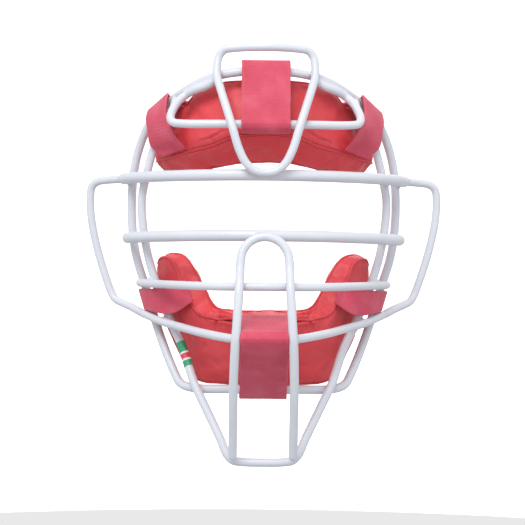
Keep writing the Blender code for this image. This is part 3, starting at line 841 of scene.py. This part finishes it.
def stitch_row(soup, path, normals, length=2.3, gap=1.2, radius=0.26, lift=0.10):
    """Thread lying on a surface in short stitches that dip at their ends."""
    steps = np.linalg.norm(np.diff(path, axis=0), axis=1)
    along = np.concatenate([[0], np.cumsum(steps)])
    at = 1.0
    while at + length < along[-1]:
        spots = at + length * np.array([0, 0.2, 0.5, 0.8, 1.0])
        points = np.stack([np.interp(spots, along, path[:, i]) for i in range(3)], 1)
        up = unit(np.stack([np.interp(spots, along, normals[:, i]) for i in range(3)], 1))
        rise = np.array([-0.25, 0.05, 0.14, 0.05, -0.25]) + lift
        soup.add(*tube(points + up * rise[:, None], radius, sides=6))
        at += length + gap


def vertex_normals(obj):
    out = np.zeros(len(obj.data.vertices) * 3)
    obj.data.vertices.foreach_get("normal", out)
    return out.reshape(-1, 3)


def work_seams(obj, seams, pinches):
    """Draws the leather in along its seams, puckers it beside them, folds it along the pinches, and records
    painted shade along the seams and in the folds' creases.
    """
    points = corners_of(obj.data) / MM
    normals = vertex_normals(obj)
    lift = np.zeros(len(points))
    # painted shade along the seam grooves and in the creases of the folds, stored as the seam attribute
    dark = np.zeros(len(points))
    for number, (path, pucker) in enumerate(seams):
        path = resample(path, SEAM_STEP_MM)
        tree = tree_of(path)
        found = [tree.find(Vector(p)) for p in points]
        far = np.array([f[2] for f in found])
        along = np.array([f[1] for f in found]) * SEAM_STEP_MM
        lift -= SEAM_DEPTH_MM * np.exp(-((far / SEAM_WIDTH_MM) ** 2))
        gather = np.array([noise.noise(Vector((a * 0.19, number * 7.0, 0.5))) for a in along])
        ripple = np.array([noise.noise(Vector((a * 0.42, number * 7.0, 3.5))) for a in along])
        lift += pucker * (gather * 1.3 + ripple * 0.6) * np.exp(-((far - 2.5) / 3.2) ** 2)
        dark = np.maximum(dark, np.exp(-((far / SEAM_SHADE_MM) ** 2)))
    surface = tree_of(points)
    for path, depth, width in pinches:
        path = resample(catmull(path, steps=12), SEAM_STEP_MM)
        path = np.array([surface.find(Vector(p))[0] for p in path])
        tree = tree_of(path)
        found = [tree.find(Vector(p)) for p in points]
        far = np.array([f[2] for f in found])
        share = np.array([f[1] for f in found]) / (len(path) - 1)
        taper = np.sin(np.pi * (0.12 + 0.76 * share))
        crease = np.exp(-((far / width) ** 2))
        shoulder = np.exp(-(((far - 2.1 * width) / (1.1 * width)) ** 2))
        lift += taper * depth * (0.55 * shoulder - crease)
        dark = np.maximum(dark, 0.8 * crease * taper)
    moved = (points + normals * lift[:, None]) * MM
    obj.data.vertices.foreach_set("co", moved.ravel())
    obj.data.update()
    put_attribute(obj, "seam", dark)


def trim_pad(name, obj, full, seams):
    """Piping over every seam, and a row of stitches on both sides of the ridge's."""
    piping, stitches = Soup(), Soup()
    points = corners_of(obj.data) / MM
    surface = tree_of(points)
    normals = vertex_normals(obj)

    def nearest(path):
        return [surface.find(Vector(p))[1] for p in path]

    def averaged(values, near, reach):
        return np.array([values[near[max(0, i - reach):i + reach + 1]].mean(0) for i in range(len(near))])

    for k, place in enumerate(seams):
        path = resample(full[2:-2, place], 1.0)
        near = nearest(path)
        up = unit(averaged(normals, near, 2))
        eased = averaged(points, near, 3)
        wavy = np.array([noise.noise(Vector(p * 0.16)) for p in path])
        radius = 1.0 if k == RIDGE_SEAM else 0.75
        piping.add(*tube(eased + up * (0.45 + 0.15 * wavy)[:, None], radius, sides=12))
        if k != RIDGE_SEAM:
            continue
        for side in (-1, 1):
            beside = full[3:-3, place] * 0.45 + full[3:-3, (place + side) % full.shape[1]] * 0.55
            beside = resample(beside, 1.0)
            near = nearest(beside)
            up = unit(averaged(normals, near, 2))
            lying = beside + up * np.sum((points[near] - beside) * up, axis=1, keepdims=True)
            stitch_row(stitches, lying, up, length=2.0, gap=1.1, radius=0.2)
    cord = piping.build(f"{name}_piping", welt)
    put_attribute(cord, "seam", np.zeros(len(cord.data.vertices)))
    ride(cord, ROOT, "red_leather")
    ride(stitches.build(f"{name}_stitching", thread), ROOT, "red_leather")


def make_pad(name, pad, upright, edge_covers, pinches, pucker):
    """A stuffed pad, with its seams, piping and stitches, in place of its foam and its four covers."""
    grid, seams = pad_grid(pad, upright)
    rows, count, _ = grid.shape
    drift = [noise.noise_vector(Vector(p * 0.06)) for p in grid.reshape(-1, 3)]
    grid = grid + np.array(drift).reshape(grid.shape) * PAD_WOBBLE_MM
    obj = grid_mesh(name, grid, leather)
    index = np.arange(rows * count).reshape(rows, count)
    tips = [rows * count, rows * count + 1]
    pinned = np.concatenate([index[:, seams].ravel(), index[0], index[-1], tips])
    final = swell(obj, pinned, pressure=3.2, spare=0.03, frames=22, cap=0.0030)
    full = final[: rows * count].reshape(rows, count, 3) / MM
    smooth = obj.modifiers.new("finish", "SUBSURF")
    smooth.levels = smooth.render_levels = 2
    bake_modifiers(obj)
    work_seams(obj, [(full[2:-2, place], pucker[k]) for k, place in enumerate(seams)], pinches)
    covers = [f"{name}_{side}_cover" for side in ("front", "face", *edge_covers)]
    ride(obj, ROOT, "red_leather", f"{name}_foam", *covers)
    trim_pad(name, obj, full, seams)


# ---------- the straps ----------

STRAP_STEP_MM = 1.26
EDGE_POINTS, FLAT_POINTS = 5, 22
SELVEDGE_MM, SELVEDGE_RISE = 1.1, 0.14
CHIN_STRAP_GROWS_MM = 2.2


def strap_section(width, thick):
    """A webbing's rounded outline across its width: (place across, height) pairs."""
    radius = thick / 2
    reach = width / 2 - radius
    flat = np.linspace(-width / 2 + radius, reach, FLAT_POINTS)
    arc = np.radians(np.linspace(90, -90, EDGE_POINTS + 2)[1:-1])
    right = [(reach + radius * math.cos(a), radius * math.sin(a)) for a in arc]
    left = [(-x, -y) for x, y in right]
    top = [(x, radius) for x in flat]
    bottom = [(x, -radius) for x in flat[::-1]]
    return np.array(top + right + bottom + left)


def sweep_strap(name, edges, thick, material, wobble=0.10):
    """A strap that runs between two edges, as a closed mesh that carries its weave's coordinates."""
    left = catmull([e[0] for e in edges], steps=20)
    right = catmull([e[1] for e in edges], steps=20)
    both = resample(np.hstack([left, right]), STRAP_STEP_MM)
    left, right = both[:, :3], both[:, 3:]
    middle = (left + right) / 2
    along = np.concatenate([[0], np.cumsum(np.linalg.norm(np.diff(middle, axis=0), axis=1))])
    across = unit(right - left)
    forward = tangents(middle)
    normal = unit(np.cross(across, forward))
    width = np.linalg.norm(right - left, axis=1)
    rows, weave = [], []
    for i in range(len(middle)):
        outline = strap_section(width[i], thick)
        selvedge = np.exp(-((width[i] / 2 - np.abs(outline[:, 0])) / SELVEDGE_MM) ** 2)
        lift = outline[:, 1] * (1 + SELVEDGE_RISE * selvedge)
        shift = np.array([noise.noise(Vector((x * 0.08, along[i] * 0.10, 3.7))) for x in outline[:, 0]])
        sway = 0.25 * noise.noise(Vector((along[i] * 0.13, 9.1, 0.0)))
        out = normal[i] * (lift + wobble * shift)[:, None]
        rows.append(middle[i] + across[i] * (outline[:, :1] + sway) + out)
        weave.append(np.stack([outline[:, 0] * MM, np.full(len(outline), along[i] * MM), selvedge], 1))
    count = len(rows[0])
    faces = []
    for i in range(len(rows) - 1):
        faces += ring_faces(i * count, (i + 1) * count, count)
    faces.append(tuple(range(count)))
    faces.append(tuple(reversed(range((len(rows) - 1) * count, len(rows) * count))))
    soup = Soup()
    soup.add(np.vstack(rows), faces)
    obj = soup.build(name, material)
    face_outwards(obj)
    put_attribute(obj, "weave", np.vstack(weave), "FLOAT_VECTOR")
    return obj


def shifted_edges(edges, offset, across_in, along_in):
    """The edges' quad moved by an offset and drawn in from its sides and its ends."""
    out = []
    for a, b in edges:
        a, b = np.array(a, float) + offset, np.array(b, float) + offset
        step = unit(b - a) * across_in
        out.append([a + step, b - step])
    for i in range(2):
        start, end = out[0][i].copy(), out[-1][i].copy()
        run = unit(end - start) * along_in
        out[0][i], out[-1][i] = start + run, end - run
    return out


def tab_stitches(edges, outward, inset=2.6):
    """A box of stitches round the tab's end, where the hook patch is sewn on."""
    soup = Soup()
    quad = shifted_edges(edges, outward * (WEB_MM / 2), inset, inset)
    corners = [quad[0][0], quad[0][1], quad[1][1], quad[1][0], quad[0][0]]
    for a, b in zip(corners, corners[1:]):
        path = resample(np.array([a, b]), 1.0)
        stitch_row(soup, path, np.repeat(outward[None], len(path), 0), lift=0.12)
    return soup


def make_strap(key, body, band, tab, towards, root):
    """Webbing from the pad's seam round the wire to its free tab, with its hook and loop patches."""
    root, band, tab = ([np.array(edge, float) for edge in edges] for edges in (root, band, tab))
    strap = sweep_strap(f"{key}_webbing", [*root, *band[1:], *tab[1:]], WEB_MM, webbing)
    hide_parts(f"{key}_band", f"{key}_tab")
    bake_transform(strap)
    across = tab[-1][1] - tab[-1][0]
    normal = unit(np.cross(across, tab[-1][0] - tab[-2][0]))
    middle = (tab[-1][0] + tab[-2][1]) / 2
    inward = normal if normal @ (np.array(towards, float) - middle) > 0 else -normal
    to_hook = (WEB_MM + PATCH_MM) / 2 + GAP_MM / 2
    to_loop = to_hook + PATCH_MM + GAP_MM / 2
    hook_edges = shifted_edges(tab[-2:], inward * (to_hook - 0.12), 2.5, 1.5)
    loop_edges = shifted_edges(tab[-2:], inward * (to_loop + 0.9), 2.5, 1.5)
    hook = sweep_strap(f"{key}_hook_pile", hook_edges, PATCH_MM + 0.2, hook_pile, wobble=0.05)
    loop = sweep_strap(f"{key}_loop_pile", loop_edges, PATCH_MM + 1.6, loop_pile, wobble=0.08)
    ride(hook, body, "red_hook_and_loop", f"{key}_hook_patch")
    ride(loop, ROOT, "red_hook_and_loop", f"{key}_loop_patch")
    sewn = tab_stitches(tab[-2:], -inward).build(f"{key}_stitching", thread)
    ride(sewn, body, "red_webbing")


def centre_edges(profile, width, grow=0.0):
    """Both edges of a middle strap, which is wider by grow from its first point to its last."""
    last = max(1, len(profile) - 1)
    return [
        ((-(width + grow * i / last) / 2, y, z), ((width + grow * i / last) / 2, y, z))
        for i, (y, z) in enumerate(profile)
    ]


def side_edges(rows, hand):
    return [tuple((hand * p[0], p[1], p[2]) for p in edge) for edge in rows]


def side_tab(rows, run, hand):
    outer, inner = (np.array(p, float) for p in rows[-1])
    step = np.array(run, float)
    start = unit(step) * 3 * GAP_MM
    made = []
    for share in (0.0, 0.3, 1.0):
        move = start + step * share
        made.append(tuple(np.array((hand, 1, 1)) * (p + move) for p in (outer, inner)))
    return made


def make_straps():
    make_strap("crown_centre_strap", "crown_centre_tab", centre_edges(CROWN_CENTRE_BAND, CROWN_STRAP_MM),
               centre_edges(CROWN_CENTRE_TAB, CROWN_STRAP_MM), (0, -30, 0),
               centre_edges(CROWN_CENTRE_ROOT, CROWN_STRAP_MM))
    make_strap("chin_centre_strap", "chin_centre_tab",
               centre_edges(CHIN_CENTRE_BAND, CHIN_STRAP_MM, CHIN_STRAP_GROWS_MM),
               centre_edges(CHIN_CENTRE_TAB, CHIN_STRAP_MM + CHIN_STRAP_GROWS_MM), (0, -30, 0),
               centre_edges(CHIN_CENTRE_ROOT, CHIN_STRAP_MM))
    for side, hand in (("left", -1), ("right", 1)):
        for pad, rows, run, height, root in (
            ("crown", CROWN_STRAP_ROWS, CROWN_TAB_RUN, 60, CROWN_SIDE_ROOT),
            ("chin", CHIN_STRAP_ROWS, CHIN_TAB_RUN, -28, CHIN_SIDE_ROOT),
        ):
            make_strap(f"{pad}_{side}_strap", f"{pad}_{side}_tab", side_edges(rows, hand),
                       side_tab(rows, run, hand), (0, -30, height), side_edges(root, hand))


# ---------- camera, light and floor ----------

def make_camera():
    """Level with the mask's middle and about 1.2 m in front of it, a shade to the left of square on."""
    distance, yaw, roll, sideways = 1.197, math.radians(0.7), math.radians(0.55), -0.0006
    ahead = Vector((math.sin(yaw), math.cos(yaw), 0))
    right = Vector((math.cos(yaw), -math.sin(yaw), 0))
    data = bpy.data.cameras.new("camera")
    data.lens = 108.55
    data.sensor_width = 36.0
    data.clip_start, data.clip_end = 0.05, 30.0
    camera = bpy.data.objects.new("camera", data)
    turn = ahead.to_track_quat("-Z", "Y").to_matrix().to_4x4() @ Matrix.Rotation(roll, 4, "Z")
    camera.matrix_world = Matrix.Translation(-ahead * distance + right * sideways) @ turn
    bpy.context.scene.collection.objects.link(camera)
    bpy.context.scene.camera = camera


def area_light(name, place, target, size, power):
    data = bpy.data.lights.new(name, "AREA")
    data.shape = "RECTANGLE"
    data.size, data.size_y = size
    data.energy = power
    light = bpy.data.objects.new(name, data)
    light.location = place
    light.rotation_euler = (Vector(target) - Vector(place)).to_track_quat("-Z", "Y").to_euler()
    bpy.context.scene.collection.objects.link(light)


FLOOR_Z_M = -0.42
MIDDLE_M, BEND_START_M, BEND_M, WALL_TOP_M = 1.5, 2.5, 1.0, 3.4
SWEEP_SIDES = 72


def make_world():
    """White overhead, greyer towards the ground, so that the undersides shade."""
    world = bpy.data.worlds.new("studio")
    world.use_nodes = True
    tree = world.node_tree
    background = tree.nodes.get("Background") or tree.nodes.new("ShaderNodeBackground")
    split = node(tree, "ShaderNodeSeparateXYZ")
    join(tree, node(tree, "ShaderNodeTexCoord").outputs["Generated"], split.inputs[0])
    height = node(tree, "ShaderNodeMapRange", {"From Min": -0.8, "From Max": 0.9})
    join(tree, split.outputs[2], height.inputs["Value"])
    greys = [(0.0, (0.58, 0.585, 0.60)), (0.47, (0.93, 0.935, 0.95)), (1.0, (1.0, 1.0, 1.0))]
    sky = ramp(tree, height.outputs["Result"], greys)
    join(tree, sky, background.inputs["Color"])
    background.inputs["Strength"].default_value = 0.80
    bpy.context.scene.world = world


def make_sweep():
    """A round paper floor that bends up into a wall all round. Only the camera sees it."""
    bend = [
        (BEND_START_M + BEND_M * math.sin(a), BEND_M - BEND_M * math.cos(a))
        for a in np.radians(range(0, 91, 10))
    ]
    curve = [(MIDDLE_M, 0.0), *bend, (BEND_START_M + BEND_M, WALL_TOP_M)]
    turn = np.linspace(0, 2 * math.pi, SWEEP_SIDES, endpoint=False)
    rings = [
        np.stack([r * np.cos(turn), r * np.sin(turn), np.full(SWEEP_SIDES, FLOOR_Z_M + z)], 1)
        for r, z in curve
    ]
    faces = [tuple(range(SWEEP_SIDES))]
    for i in range(len(rings) - 1):
        faces += ring_faces(i * SWEEP_SIDES, (i + 1) * SWEEP_SIDES, SWEEP_SIDES)
    sweep = Soup()
    sweep.add(np.vstack(rings), faces)
    paper, _, shader = new_material("studio_paper", (0.93, 0.93, 0.94), 0.9)
    set_inputs(shader, {"Emission Color": (1.0, 1.0, 1.0, 1.0), "Emission Strength": 0.8})
    floor = sweep.build("studio_floor", paper, scale=1.0)
    floor.visible_diffuse = floor.visible_glossy = floor.visible_shadow = False


def make_studio():
    make_world()
    area_light("key", (-0.55, -1.5, 1.6), (0, -0.03, 0.0), (1.2, 0.9), 26)
    area_light("fill", (1.4, -1.5, 0.5), (0, -0.03, 0.0), (1.2, 1.2), 3)
    area_light("rim", (0.5, 1.6, 1.5), (0, 0, 0), (1.2, 1.2), 6)
    make_sweep()
    bpy.context.scene.view_settings.view_transform = "Standard"


paths = make_cage()
make_label(paths)
make_pad("crown_pad", CROWN_PAD, True, ("lower", "top"), CROWN_PINCHES, (0.12, 0.5, 0.35, 0.12))
make_pad("chin_pad", CHIN_PAD, False, ("inner", "lower"), CHIN_PINCHES, (0.2, 0.35, 0.4, 0.15))
make_straps()
make_camera()
make_studio()
